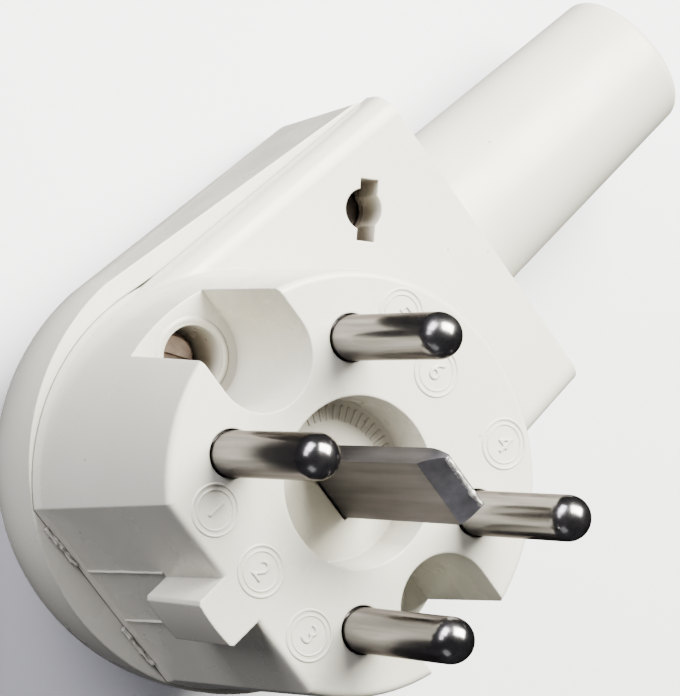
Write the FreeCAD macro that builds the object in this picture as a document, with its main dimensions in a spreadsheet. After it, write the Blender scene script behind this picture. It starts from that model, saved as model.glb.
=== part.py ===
import FreeCAD, Part
import math
import os
import Sketcher

os.makedirs("parts", exist_ok=True)

doc = FreeCAD.newDocument("AngledPlug")
sheet = doc.addObject("Spreadsheet::Sheet", "Sizes")

# Every size of the plug, in millimetres and degrees.
# The origin is the middle of the contact face's circle, on the flat back. Z points from the back
# towards the pin tips, Y towards the cable end and X across the plug.
SIZES = [
    # Levels above the flat back
    ("face_level", 53.0),
    ("seam_level", 23.0),
    ("plate_level", 27.4),
    # Round head with a flat chord on the key side
    ("head_radius_face", 23.1),
    ("head_radius_seam", 24.05),
    ("chord_face", 18.8),
    ("chord_seam", 20.3),
    ("face_edge_round", 0.8),
    # Key rib on the chord
    ("key_half_width", 3.15),
    ("key_bevel", 0.35),
    ("key_radius", 22.95),
    ("key_length", 12.0),
    # Neck over the cable chamber
    ("neck_join", 1.5),
    ("neck_radius", 23.85),
    ("neck_half_end", 21.7),
    ("neck_end", 43.65),
    ("neck_corner", 2.0),
    ("neck_edge_round", 2.6),
    # Foot of the head along the seam
    ("foot_radius", 24.4),
    ("foot_chord", 20.6),
    ("foot_rise", 1.5),
    ("foot_slope", 0.4),
    # Walls of the two mouldings
    ("wall", 2.2),
    ("face_wall", 2.4),
    ("cover_wall", 2.4),
    # Round pins
    ("pin_x", 12.53),
    ("pin_y", 9.59),
    ("pin_radius", 2.5),
    ("pin_tip_level", 73.15),
    ("pin_groove_rise", 0.05),
    ("pin_groove_width", 0.8),
    ("pin_groove_depth", 0.3),
    ("pin_hole_gap", 0.2),
    ("pin_guide_wall", 1.2),
    ("pin_guide_level", 47.0),
    # Recess round the earth blade
    ("recess_y", 0.35),
    ("recess_radius", 9.35),
    ("recess_depth", 5.8),
    ("recess_draft", 4.4),
    ("cup_wall", 1.95),
    ("cup_floor", 2.2),
    # Earth blade
    ("blade_y", 0.27),
    ("blade_half_width", 4.2),
    ("blade_thickness", 2.5),
    ("blade_tip_level", 73.0),
    ("blade_tip_half_width", 3.35),
    ("blade_shoulder_drop", 3.0),
    ("blade_shoulder_round", 5.5),
    ("blade_bevel_drop", 2.4),
    ("blade_land", 0.52),
    ("blade_gap", 0.25),
    # Side notches with the housing screws
    ("notch_x", 17.9),
    ("notch_radius", 6.0),
    ("notch_depth", 16.0),
    ("notch_draft", 1.07),
    ("notch_wall", 1.5),
    ("notch_floor", 2.5),
    ("notch_shell_radius", 22.4),
    ("notch_mouth_x", 30.0),
    ("well_radius", 3.6),
    ("well_wall", 1.6),
    ("well_seat_level", 29.9),
    # Slotted screws
    ("screw_radius", 1.5),
    ("screw_gap", 0.2),
    ("screw_head_radius", 2.8),
    ("screw_head_height", 2.4),
    ("screw_slot_width", 0.9),
    ("screw_slot_depth", 1.1),
    ("screw_head_edge", 0.35),
    ("housing_screw_end_level", 14.0),
    ("housing_screw_turn_left", 35.0),
    ("housing_screw_turn_right", -20.0),
    # Threaded inserts
    ("insert_radius", 2.25),
    ("insert_gap", 0.05),
    ("insert_bore_gap", 0.1),
    ("insert_length", 7.0),
    ("insert_sink", 0.3),
    ("insert_boss_wall", 2.3),
    # Access hole in the plate and the slot that crosses it
    ("access_x", -13.4),
    ("access_y", 32.6),
    ("access_radius", 2.45),
    ("access_boss_radius", 5.0),
    ("access_boss_level", 22.2),
    ("access_slot_x", -12.98),
    ("access_slot_y", 32.91),
    ("access_slot_half_length", 3.66),
    ("access_slot_half_width", 1.2),
    # Contact carrier with its retainer and its posts
    ("carrier_level", 25.5),
    ("carrier_height", 8.7),
    ("carrier_radius", 20.4),
    ("carrier_chord", 16.6),
    ("carrier_gap", 0.4),
    ("carrier_edge", 0.5),
    ("retainer_height", 2.1),
    ("retainer_gap", 0.1),
    ("retainer_inset", 0.4),
    ("post_y", 14.2),
    ("post_radius", 2.9),
    ("post_gap", 0.1),
    ("carrier_screw_radius", 1.4),
    ("carrier_screw_head_radius", 2.6),
    ("carrier_screw_head_height", 2.2),
    ("carrier_screw_reach", 8.0),
    # Flanges and terminals of the contacts
    ("flange_radius", 4.3),
    ("flange_height", 2.4),
    ("flange_gap", 0.15),
    ("blade_flange_half_x", 5.8),
    ("blade_flange_half_y", 3.9),
    ("terminal_radius", 3.2),
    ("terminal_level", 14.0),
    ("terminal_edge", 0.4),
    ("wire_radius", 1.9),
    ("wire_depth", 8.0),
    ("terminal_screw_rise", 4.2),
    ("terminal_screw_radius", 1.5),
    ("terminal_screw_length", 3.4),
    ("terminal_screw_head_radius", 2.1),
    ("terminal_screw_head_height", 1.5),
    ("terminal_screw_standoff", 0.4),
    # Rear cover: round dome and squared cable end
    ("cover_y", 2.56),
    ("cover_radius", 26.67),
    ("cover_dome_level", 20.2),
    ("cover_half_end", 22.0),
    ("cover_half_end_back", 20.2),
    ("cover_end_round", 4.0),
    ("cover_corner_round", 2.6),
    ("sill_overlap", 1.5),
    # Cable sleeve
    ("sleeve_y", 44.0),
    ("sleeve_z", 13.04),
    ("sleeve_tilt", 3.724),
    ("sleeve_radius", 11.02),
    ("sleeve_taper", 0.05),
    ("sleeve_length", 37.2),
    ("sleeve_root", 5.8),
    ("sleeve_gap", 0.15),
    ("sleeve_end_round", 1.3),
    ("sleeve_end_wall", 2.96),
    ("sleeve_mouth_flare", 1.0),
    ("sleeve_flange_half_x", 13.6),
    ("sleeve_flange_half_z", 10.0),
    ("sleeve_flange_corner", 5.0),
    ("sleeve_flange_thickness", 2.0),
    # Cable clamp on its saddle in the rear cover
    ("clamp_half_depth", 3.2),
    ("clamp_bottom_level", 17.2),
    ("clamp_top_level", 19.4),
    ("clamp_left_x", 17.4),
    ("clamp_right_x", 16.8),
    ("clamp_block_half_x", 8.4),
    ("clamp_block_level", 14.0),
    ("cable_level", 11.8),
    ("cable_radius", 6.0),
    ("saddle_level", 9.0),
    ("bracket_inner_x", 12.8),
    ("bracket_outer_x", 19.2),
    ("clamp_screw_end_level", 8.0),
    ("clamp_gap", 0.2),
    # Rib that keeps the flange of the sleeve in its place
    ("rib_y", 35.9),
    ("rib_thickness", 1.6),
    ("rib_level", 21.6),
    ("rib_opening_radius", 9.0),
]


class Size:
    """A number together with the spreadsheet expression that it comes from."""

    def __init__(self, number, text):
        self.number = number
        self.text = text

    def __add__(self, other):
        other = sized(other)
        return Size(self.number + other.number, "(%s + %s)" % (self.text, other.text))

    def __sub__(self, other):
        other = sized(other)
        return Size(self.number - other.number, "(%s - %s)" % (self.text, other.text))

    def __mul__(self, other):
        other = sized(other)
        return Size(self.number * other.number, "(%s * %s)" % (self.text, other.text))

    def __truediv__(self, other):
        other = sized(other)
        return Size(self.number / other.number, "(%s / %s)" % (self.text, other.text))

    def __neg__(self):
        return self * -1


def sized(value):
    """A plain number as a Size; a Size as it is."""
    if isinstance(value, Size):
        return value
    return Size(float(value), "(%r)" % float(value))


def leg(hypotenuse, other):
    """Second leg of a right triangle, as between a circle and a straight cut."""
    return Size(
        math.sqrt(hypotenuse.number ** 2 - other.number ** 2),
        "sqrt(%s ^ 2 - %s ^ 2)" % (hypotenuse.text, other.text),
    )


class Table:
    """The named sizes, one attribute each."""


S = Table()
for row, (alias, number) in enumerate(SIZES, 1):
    sheet.set("A%d" % row, alias)
    sheet.set("B%d" % row, str(number))
    sheet.setAlias("B%d" % row, alias)
    setattr(S, alias, Size(number, "Sizes." + alias))
doc.recompute()


def bind(thing, name, value):
    """Ties a property of a feature to the spreadsheet."""
    thing.setExpression(name, sized(value).text)


def new_body(name, place=(0, 0, 0), axis=None, angle=0):
    """A body with its own label and placement."""
    body = doc.addObject("PartDesign::Body", name)
    body.Label = name
    if axis is not None:
        turn = FreeCAD.Rotation(FreeCAD.Vector(*axis), sized(angle).number)
        body.Placement = FreeCAD.Placement(FreeCAD.Vector(), turn)
        bind(body, "Placement.Rotation.Angle", angle)
    for letter, value in zip("xyz", place):
        bind(body, "Placement.Base." + letter, value)
    return body


def new_sketch(body, name, level=0, plane="XY_Plane"):
    """A sketch at a level above one of the body's own planes."""
    sketch = body.newObject("Sketcher::SketchObject", body.Name + "_" + name)
    support = [item for item in body.Origin.OriginFeatures if item.Role == plane]
    sketch.AttachmentSupport = [(support[0], "")]
    sketch.MapMode = "FlatFace"
    bind(sketch, "AttachmentOffset.Base.z", level)
    return sketch


def constrain(sketch, value, *terms):
    """A dimension of a sketch, tied to the spreadsheet."""
    value = sized(value)
    index = sketch.addConstraint(Sketcher.Constraint(*terms, value.number))
    sketch.setExpression("Constraints[%d]" % index, value.text)


def add_circle(sketch, x, y, radius):
    """A circle from its centre and radius."""
    x, y, radius = sized(x), sized(y), sized(radius)
    centre = FreeCAD.Vector(x.number, y.number, 0)
    circle = sketch.addGeometry(Part.Circle(centre, FreeCAD.Vector(0, 0, 1), radius.number), False)
    constrain(sketch, x, "DistanceX", -1, 1, circle, 3)
    constrain(sketch, y, "DistanceY", -1, 1, circle, 3)
    constrain(sketch, radius, "Radius", circle)


def add_loop(sketch, points):
    """A closed outline through points (x, y) or (x, y, radius).

    With a radius, the side that arrives at the point is an arc of less than half a turn:
    positive where it turns left and negative where it turns right.
    """
    corners = [(sized(point[0]), sized(point[1])) for point in points]
    places = [FreeCAD.Vector(x.number, y.number, 0) for x, y in corners]
    sides = []
    for index, point in enumerate(points):
        start, end = places[index - 1], places[index]
        if len(point) == 2:
            side = sketch.addGeometry(Part.LineSegment(start, end), False)
            sides.append((side, 1, 2))
            continue
        radius = sized(point[2])
        left = radius.number > 0
        radius = radius if left else -radius
        chord = end - start
        reach = math.sqrt(max(radius.number ** 2 - chord.Length ** 2 / 4, 0)) / chord.Length
        offset = FreeCAD.Vector(-chord.y, chord.x, 0) * (reach if left else -reach)
        centre = (start + end) * 0.5 + offset
        first, last = (start, end) if left else (end, start)
        begin = math.atan2(first.y - centre.y, first.x - centre.x)
        finish = math.atan2(last.y - centre.y, last.x - centre.x)
        if finish <= begin:
            finish += 2 * math.pi
        circle = Part.Circle(centre, FreeCAD.Vector(0, 0, 1), radius.number)
        side = sketch.addGeometry(Part.ArcOfCircle(circle, begin, finish), False)
        sides.append((side, 1, 2) if left else (side, 2, 1))
        constrain(sketch, radius, "Radius", side)
    for index, (side, _, end) in enumerate(sides):
        following, start, _ = sides[(index + 1) % len(sides)]
        sketch.addConstraint(Sketcher.Constraint("Coincident", side, end, following, start))
        constrain(sketch, corners[index][0], "DistanceX", -1, 1, side, end)
        constrain(sketch, corners[index][1], "DistanceY", -1, 1, side, end)


def mirrored(points):
    """The same outline on the other side of the Y axis."""
    return [(-sized(point[0]), point[1]) + tuple(-sized(r) for r in point[2:]) for point in points]


def box_points(half_x, half_y, x=0, y=0):
    """Corners of a rectangle round a centre."""
    x, y = sized(x), sized(y)
    right, left, far, near = x + half_x, x - half_x, y + half_y, y - half_y
    return [(right, near), (right, far), (left, far), (left, near)]


def settle(body, feature, grows):
    """Computes a new feature and makes sure that it adds or removes material."""
    before = feature.BaseFeature.Shape.Volume if feature.BaseFeature else 0.0
    doc.recompute()
    after = feature.Shape.Volume
    if (after <= before + 1e-6) if grows else (after >= before - 1e-6):
        raise RuntimeError("%s has no effect: %.3f to %.3f" % (feature.Name, before, after))
    return feature


def pad(body, sketch, height, draft=0, down=False, middle=False):
    """Material on a sketch, upwards unless told otherwise."""
    feature = body.newObject("PartDesign::Pad", sketch.Name + "_pad")
    feature.Profile = (sketch, [""])
    bind(feature, "Length", height)
    bind(feature, "TaperAngle", draft)
    feature.Reversed = down
    feature.Midplane = middle
    return settle(body, feature, True)


def pocket(body, sketch, depth, draft=0, up=False, middle=False):
    """A hollow under a sketch, downwards unless told otherwise."""
    feature = body.newObject("PartDesign::Pocket", sketch.Name + "_pocket")
    feature.Profile = (sketch, [""])
    bind(feature, "Length", depth)
    bind(feature, "TaperAngle", draft)
    feature.Reversed = up
    feature.Midplane = middle
    return settle(body, feature, False)


def revolve(body, sketch, half=False):
    """A turned form round the sketch's vertical axis; half of it lies on the key side."""
    feature = body.newObject("PartDesign::Revolution", sketch.Name + "_turned")
    feature.Profile = (sketch, [""])
    feature.ReferenceAxis = (sketch, ["V_Axis"])
    feature.Angle = 180 if half else 360
    feature.Reversed = half
    return settle(body, feature, True)


def loft(body, sketches, kind="AdditiveLoft"):
    """A form that passes through a row of sketches."""
    feature = body.newObject("PartDesign::" + kind, sketches[0].Name + "_loft")
    feature.Profile = sketches[0]
    feature.Sections = sketches[1:]
    feature.Ruled = len(sketches) == 2
    return settle(body, feature, kind == "AdditiveLoft")


def round_edges(body, name, radius, chosen, kind="Fillet"):
    """Rounds or bevels the edges of a body for which the test holds."""
    base = body.Tip
    names = ["Edge%d" % index for index, edge in enumerate(base.Shape.Edges, 1) if chosen(edge.BoundBox)]
    feature = body.newObject("PartDesign::" + kind, body.Name + "_" + name)
    feature.Base = (base, names)
    bind(feature, "Radius" if kind == "Fillet" else "Size", radius)
    return settle(body, feature, False)


def at_level(level):
    """Test for edges that lie flat at a level."""
    return lambda box: abs(box.ZMin - level.number) < 0.01 and abs(box.ZMax - level.number) < 0.01


def boolean(kind, name, *shapes):
    """A boolean of two or more finished shapes."""
    feature = doc.addObject("Part::" + kind, name)
    if kind in ("Cut", "Common"):
        feature.Base, feature.Tool = shapes
    else:
        feature.Shapes = list(shapes)
    doc.recompute()
    return feature


def upright(name, x, y, low, high, radius):
    """A plain cylinder between two levels, used in booleans."""
    cylinder = doc.addObject("Part::Cylinder", name)
    bind(cylinder, "Radius", radius)
    bind(cylinder, "Height", sized(high) - low)
    for letter, value in zip("xyz", (x, y, low)):
        bind(cylinder, "Placement.Base." + letter, value)
    return cylinder


def block(name, low, high):
    """A plain box between two opposite corners, used in booleans."""
    box = doc.addObject("Part::Box", name)
    for letter, size, near, far in zip("xyz", ("Length", "Width", "Height"), low, high):
        bind(box, size, sized(far) - near)
        bind(box, "Placement.Base." + letter, near)
    return box


NODES = []

# Derived levels and radii that several pieces share
face_inside = S.face_level - S.face_wall
recess_floor = S.face_level - S.recess_depth
cup_bottom = recess_floor - S.cup_floor
notch_floor = S.face_level - S.notch_depth
carrier_top = S.carrier_level + S.carrier_height
flange_level = S.carrier_level + S.flange_gap
flange_top = flange_level + S.flange_height
retainer_level = S.carrier_level - S.retainer_gap - S.retainer_height
screw_hole_radius = S.screw_radius + S.screw_gap
insert_bore_radius = S.screw_radius + S.insert_bore_gap
insert_hole_radius = S.insert_radius + S.insert_gap
insert_boss_radius = S.insert_radius + S.insert_boss_wall
sleeve_hole_radius = S.sleeve_radius + S.sleeve_gap
sleeve_end_radius = S.sleeve_radius - S.sleeve_taper * S.sleeve_length
sleeve_bore_radius = sleeve_end_radius - S.sleeve_end_wall
sleeve_opening_length = (S.sleeve_root + S.clamp_gap) * 2

# Cuts run a little past the surface they open, in millimetres.
overrun = 1
rib_margin = 0.1
tail_depth = 0.5

PIN_PLACES = {
    "line_1": (-1, -1),
    "line_2": (1, -1),
    "line_3": (1, 1),
    "neutral": (-1, 1),
}


def head_outline(sketch, radius, chord):
    """Circle of the head with the flat chord on the key side."""
    radius, chord = sized(radius), sized(chord)
    corner = leg(radius, chord)
    add_loop(sketch, [
        (corner, -chord),
        (radius, 0, radius),
        (0, radius, radius),
        (-radius, 0, radius),
        (-corner, -chord, radius),
    ])


def plug_outline(sketch, inset):
    """Head and neck in one outline, seen from the front."""
    radius, chord = S.neck_radius - inset, S.chord_seam - inset
    half_end, end = S.neck_half_end - inset, S.neck_end - inset
    chord_x = leg(radius, chord)
    join_x = leg(radius, S.neck_join)
    add_loop(sketch, [
        (chord_x, -chord),
        (join_x, S.neck_join, radius),
        (half_end, end - S.neck_corner),
        (half_end - S.neck_corner, end, S.neck_corner),
        (-(half_end - S.neck_corner), end),
        (-half_end, end - S.neck_corner, S.neck_corner),
        (-join_x, S.neck_join),
        (-chord_x, -chord, radius),
    ])


def neck_section(sketch, half):
    """Cross section of the neck: two sides and a flat plate with rounded edges."""
    level = S.plate_level - S.neck_edge_round
    flat = sized(half) - S.neck_edge_round
    add_loop(sketch, [
        (half, S.seam_level),
        (half, level),
        (flat, S.plate_level, S.neck_edge_round),
        (-flat, S.plate_level),
        (-half, level, S.neck_edge_round),
        (-half, S.seam_level),
    ])


# Front housing: neck with its plate, round head and the foot along its seam
housing = new_body("front_housing")
neck_start = new_sketch(housing, "neck_start", -S.neck_join, "XZ_Plane")
neck_section(neck_start, S.neck_radius)
neck_stop = new_sketch(housing, "neck_stop", -S.neck_end, "XZ_Plane")
neck_section(neck_stop, S.neck_half_end)
loft(housing, [neck_start, neck_stop])
seam_section = new_sketch(housing, "head_seam", S.seam_level)
head_outline(seam_section, S.head_radius_seam, S.chord_seam)
face_section = new_sketch(housing, "head_face", S.face_level)
head_outline(face_section, S.head_radius_face, S.chord_face)
loft(housing, [seam_section, face_section])
foot_section = new_sketch(housing, "foot", S.seam_level)
head_outline(foot_section, S.foot_radius, S.foot_chord)
foot_top = new_sketch(housing, "foot_top", S.seam_level + S.foot_rise)
head_outline(foot_top, S.foot_radius - S.foot_slope, S.foot_chord - S.foot_slope)
loft(housing, [foot_section, foot_top])
round_edges(housing, "face_edge", S.face_edge_round, at_level(S.face_level))

# Key rib on the chord, level with the circle of the face
sketch = new_sketch(housing, "key", S.face_level - S.key_length)
key_outer_x = S.key_half_width - S.key_bevel
key_outer_y = -leg(S.key_radius, key_outer_x)
add_loop(sketch, [
    (key_outer_x, key_outer_y, S.key_radius),
    (S.key_half_width, key_outer_y + S.key_bevel),
    (S.key_half_width, -(S.chord_face - S.wall / 2)),
    (-S.key_half_width, -(S.chord_face - S.wall / 2)),
    (-S.key_half_width, key_outer_y + S.key_bevel),
    (-key_outer_x, key_outer_y),
])
pad(housing, sketch, S.key_length)

# Space inside the head and the neck
low_section = new_sketch(housing, "space_seam", S.seam_level)
head_outline(low_section, S.head_radius_seam - S.wall, S.chord_seam - S.wall)
high_section = new_sketch(housing, "space_face", face_inside)
head_outline(high_section, S.head_radius_face - S.wall, S.chord_face - S.wall)
loft(housing, [low_section, high_section], "SubtractiveLoft")
sketch = new_sketch(housing, "space_neck", S.seam_level)
plug_outline(sketch, S.wall)
pocket(housing, sketch, S.plate_level - S.wall - S.seam_level, up=True)

# Cup behind the recess, posts for the carrier and guides round the pins
inside_overlap = S.face_wall / 2
sketch = new_sketch(housing, "cup", cup_bottom)
add_circle(sketch, 0, S.recess_y, S.recess_radius + S.cup_wall)
pad(housing, sketch, face_inside + inside_overlap - cup_bottom)
sketch = new_sketch(housing, "posts", carrier_top + S.post_gap)
for side in (-1, 1):
    add_circle(sketch, 0, S.post_y * side, S.post_radius)
pad(housing, sketch, face_inside + inside_overlap - carrier_top - S.post_gap)
sketch = new_sketch(housing, "guides", S.pin_guide_level)
for across, along in PIN_PLACES.values():
    add_circle(sketch, S.pin_x * across, S.pin_y * along, S.pin_radius + S.pin_hole_gap + S.pin_guide_wall)
pad(housing, sketch, face_inside + inside_overlap - S.pin_guide_level)

# Channels behind the side notches and the wells of the housing screws
channel = S.notch_radius + S.notch_wall
channel_x = leg(S.notch_shell_radius, channel)
channel_points = [
    (channel_x, channel, S.notch_shell_radius),
    (S.notch_x, channel),
    (S.notch_x - channel, 0, channel),
    (S.notch_x, -channel, channel),
    (channel_x, -channel),
]
sketch = new_sketch(housing, "channels", notch_floor - S.notch_floor)
add_loop(sketch, channel_points)
add_loop(sketch, mirrored(channel_points))
pad(housing, sketch, face_inside + inside_overlap - notch_floor + S.notch_floor)
sketch = new_sketch(housing, "wells", S.seam_level)
for side in (-1, 1):
    add_circle(sketch, S.notch_x * side, 0, S.well_radius + S.well_wall)
pad(housing, sketch, notch_floor - S.notch_floor / 2 - S.seam_level)

# Recess, slot of the blade and holes of the pins
sketch = new_sketch(housing, "recess", S.face_level)
add_circle(sketch, 0, S.recess_y, S.recess_radius)
pocket(housing, sketch, S.recess_depth, draft=-S.recess_draft)
sketch = new_sketch(housing, "blade_slot", recess_floor)
add_loop(
    sketch,
    box_points(S.blade_half_width + S.blade_gap, S.blade_thickness / 2 + S.blade_gap, 0, S.blade_y),
)
pocket(housing, sketch, S.cup_floor * 2)
sketch = new_sketch(housing, "pin_holes", S.face_level)
for across, along in PIN_PLACES.values():
    add_circle(sketch, S.pin_x * across, S.pin_y * along, S.pin_radius + S.pin_hole_gap)
pocket(housing, sketch, S.face_level - S.pin_guide_level + overrun)

# Side notches with their screw holes
notch_points = [
    (S.notch_mouth_x, S.notch_radius),
    (S.notch_x, S.notch_radius),
    (S.notch_x - S.notch_radius, 0, S.notch_radius),
    (S.notch_x, -S.notch_radius, S.notch_radius),
    (S.notch_mouth_x, -S.notch_radius),
]
sketch = new_sketch(housing, "notches", S.face_level)
add_loop(sketch, notch_points)
add_loop(sketch, mirrored(notch_points))
pocket(housing, sketch, S.notch_depth, draft=-S.notch_draft)
for name, radius, level in (
    ("screw_wells", S.well_radius, S.well_seat_level),
    ("screw_holes", screw_hole_radius, S.seam_level - 1),
):
    sketch = new_sketch(housing, name, notch_floor)
    for side in (-1, 1):
        add_circle(sketch, S.notch_x * side, 0, radius)
    pocket(housing, sketch, notch_floor - level)

# Screw holes in the posts, blind from below
sketch = new_sketch(housing, "post_holes", carrier_top)
for side in (-1, 1):
    add_circle(sketch, 0, S.post_y * side, S.carrier_screw_radius + S.post_gap)
pocket(housing, sketch, S.carrier_screw_reach + overrun, up=True)

# Access hole in the plate and its boss, crossed by a diagonal slot
access_depth = S.plate_level - S.access_boss_level
sketch = new_sketch(housing, "access_boss", S.access_boss_level)
add_circle(sketch, S.access_x, S.access_y, S.access_boss_radius)
pad(housing, sketch, access_depth - S.wall / 2)
sketch = new_sketch(housing, "access_hole", S.plate_level)
add_circle(sketch, S.access_x, S.access_y, S.access_radius)
pocket(housing, sketch, access_depth)
diagonal = Size(math.sqrt(0.5), "sqrt(0.5)")
along, across = S.access_slot_half_length * diagonal, S.access_slot_half_width * diagonal
sketch = new_sketch(housing, "access_slot", S.plate_level)
add_loop(sketch, [
    (S.access_slot_x + along - across, S.access_slot_y - along - across),
    (S.access_slot_x + along + across, S.access_slot_y - along + across),
    (S.access_slot_x - along + across, S.access_slot_y + along + across),
    (S.access_slot_x - along - across, S.access_slot_y + along - across),
])
pocket(housing, sketch, access_depth)


def sleeve_opening(body):
    """Round opening for the sleeve through the end wall, square to the tilted sleeve."""
    sketch = body.newObject("Sketcher::SketchObject", body.Name + "_sleeve_opening")
    support = [item for item in body.Origin.OriginFeatures if item.Role == "XZ_Plane"]
    sketch.AttachmentSupport = [(support[0], "")]
    sketch.MapMode = "FlatFace"
    turn = FreeCAD.Rotation(FreeCAD.Vector(1, 0, 0), S.sleeve_tilt.number)
    sketch.AttachmentOffset = FreeCAD.Placement(FreeCAD.Vector(), turn)
    bind(sketch, "AttachmentOffset.Rotation.Angle", S.sleeve_tilt)
    bind(sketch, "AttachmentOffset.Base.y", S.sleeve_z)
    bind(sketch, "AttachmentOffset.Base.z", -S.sleeve_y)
    add_circle(sketch, 0, 0, sleeve_hole_radius)
    return sketch


pocket(housing, sleeve_opening(housing), sleeve_opening_length, middle=True)
NODES.append(housing)


def dome_outline(sketch, inset=0):
    """Half section of the round dome of the rear cover."""
    radius = S.cover_radius - inset
    bottom, top = sized(inset), S.seam_level + inset
    add_loop(sketch, [
        (0, bottom),
        (leg(radius, S.cover_dome_level - bottom), bottom),
        (radius, S.cover_dome_level, radius),
        (radius, top),
        (0, top),
    ])


def cover_section(sketch, half_flat, half_side, level, half_top, curve, inset=0):
    """Cross section of the cover's neck: flat back, two curves up to a level and two sides."""
    bottom, top = sized(inset), S.seam_level + inset
    add_loop(sketch, [
        (half_flat, bottom),
        (half_side, level, curve),
        (half_top, top),
        (-half_top, top),
        (-half_side, level),
        (-half_flat, bottom, curve),
    ])


def cover_form(body, inset=0):
    """Dome and neck of the rear cover; with an inset, the space inside them."""
    sketch = new_sketch(body, "dome", -S.cover_y, "XZ_Plane")
    dome_outline(sketch, inset)
    revolve(body, sketch, half=True)
    radius = S.cover_radius - inset
    half_flat = leg(radius, S.cover_dome_level - inset)
    start = new_sketch(body, "start", -S.cover_y, "XZ_Plane")
    cover_section(start, half_flat, radius, S.cover_dome_level, radius, radius, inset)
    half_back, curve = S.cover_half_end_back - inset, S.cover_end_round - inset
    end = new_sketch(body, "end", -(S.neck_end - inset), "XZ_Plane")
    cover_section(end, half_back - curve, half_back, curve + inset, S.cover_half_end - inset, curve, inset)
    loft(body, [start, end])


# Rear cover: the outer form, then the space inside it
outer = new_body("cover_outer")
cover_form(outer)
round_edges(
    outer, "corner", S.cover_corner_round,
    lambda box: box.YMin > S.neck_end.number - 0.01 and box.ZMin < S.seam_level.number - 0.01,
)
space = new_body("cover_space")
cover_form(space, S.cover_wall)
shell = boolean("Cut", "cover_shell", outer, space)

# Bosses, saddle, hook bracket, rib and the sill under the chord, cut to the cover's outer form
fittings = [
    upright("boss_left", -S.notch_x, 0, 0, S.seam_level, insert_boss_radius),
    upright("boss_right", S.notch_x, 0, 0, S.seam_level, insert_boss_radius),
    upright("boss_clamp", S.access_x, S.access_y, 0, S.clamp_bottom_level - S.clamp_gap, insert_boss_radius),
    block(
        "saddle",
        (-S.clamp_block_half_x, S.access_y - S.clamp_half_depth, 0),
        (S.clamp_block_half_x, S.access_y + S.clamp_half_depth, S.saddle_level),
    ),
    block(
        "bracket",
        (S.bracket_inner_x, S.access_y - S.clamp_half_depth, 0),
        (S.bracket_outer_x, S.access_y + S.clamp_half_depth, S.seam_level),
    ),
    block(
        "rib",
        (-S.cover_half_end, S.rib_y, 0),
        (S.cover_half_end, S.rib_y + S.rib_thickness, S.rib_level),
    ),
    block(
        "sill",
        (-S.cover_radius, -S.cover_radius, S.seam_level - S.cover_wall),
        (S.cover_radius, S.sill_overlap - S.foot_chord, S.seam_level),
    ),
]
fitting_group = boolean("MultiFuse", "cover_fittings", *fittings)
fitting_form = boolean("Common", "cover_fittings_cut", fitting_group, outer)

# Hollows in the fittings: trough and rib opening, hook slot, insert bores and the sleeve's opening
trough = doc.addObject("Part::Cylinder", "trough")
trough.Placement = FreeCAD.Placement(FreeCAD.Vector(), FreeCAD.Rotation(FreeCAD.Vector(1, 0, 0), -90))
bind(trough, "Radius", S.cable_radius)
bind(trough, "Height", S.clamp_half_depth * 2 + overrun * 2)
bind(trough, "Placement.Base.y", S.access_y - S.clamp_half_depth - 1)
bind(trough, "Placement.Base.z", S.cable_level)
rib_opening = doc.addObject("Part::Cylinder", "rib_opening")
rib_opening.Placement = trough.Placement
bind(rib_opening, "Radius", S.rib_opening_radius)
bind(rib_opening, "Height", S.rib_thickness + rib_margin * 2)
bind(rib_opening, "Placement.Base.y", S.rib_y - rib_margin)
bind(rib_opening, "Placement.Base.z", S.sleeve_z)
hollows = [
    trough,
    rib_opening,
    block(
        "rib_mouth",
        (-S.rib_opening_radius, S.rib_y - rib_margin, S.sleeve_z),
        (S.rib_opening_radius, S.rib_y + S.rib_thickness + rib_margin, S.seam_level + overrun),
    ),
    block(
        "hook_slot",
        (
            S.bracket_inner_x - overrun,
            S.access_y - S.clamp_half_depth - overrun,
            S.clamp_bottom_level - S.clamp_gap,
        ),
        (
            S.clamp_right_x + S.clamp_gap,
            S.access_y + S.clamp_half_depth + overrun,
            S.clamp_top_level + S.clamp_gap,
        ),
    ),
]
for name, x, y, top, screw_end in (
    ("left", -S.notch_x, 0, S.seam_level, S.housing_screw_end_level),
    ("right", S.notch_x, 0, S.seam_level, S.housing_screw_end_level),
    ("clamp", S.access_x, S.access_y, S.clamp_bottom_level - S.clamp_gap, S.clamp_screw_end_level),
):
    bore_end = top - S.insert_sink - S.insert_length
    hollows.append(upright("bore_" + name, x, y, bore_end, top, insert_hole_radius))
    hollows.append(upright("tail_" + name, x, y, screw_end - tail_depth, top, screw_hole_radius))
hollow_group = boolean("MultiFuse", "cover_hollows", *hollows)
fitting_final = boolean("Cut", "cover_fittings_final", fitting_form, hollow_group)
mouth = new_body("cover_mouth")
pad(mouth, sleeve_opening(mouth), sleeve_opening_length, middle=True)
joined = boolean("MultiFuse", "cover_joined", shell, fitting_final)
cover_open = boolean("Cut", "cover_open", joined, mouth)
cover_bores = boolean("MultiFuse", "cover_bores", *hollows[4:])
cover = boolean("Cut", "rear_cover", cover_open, cover_bores)
cover.Label = "rear_cover"
NODES.append(cover)

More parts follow.
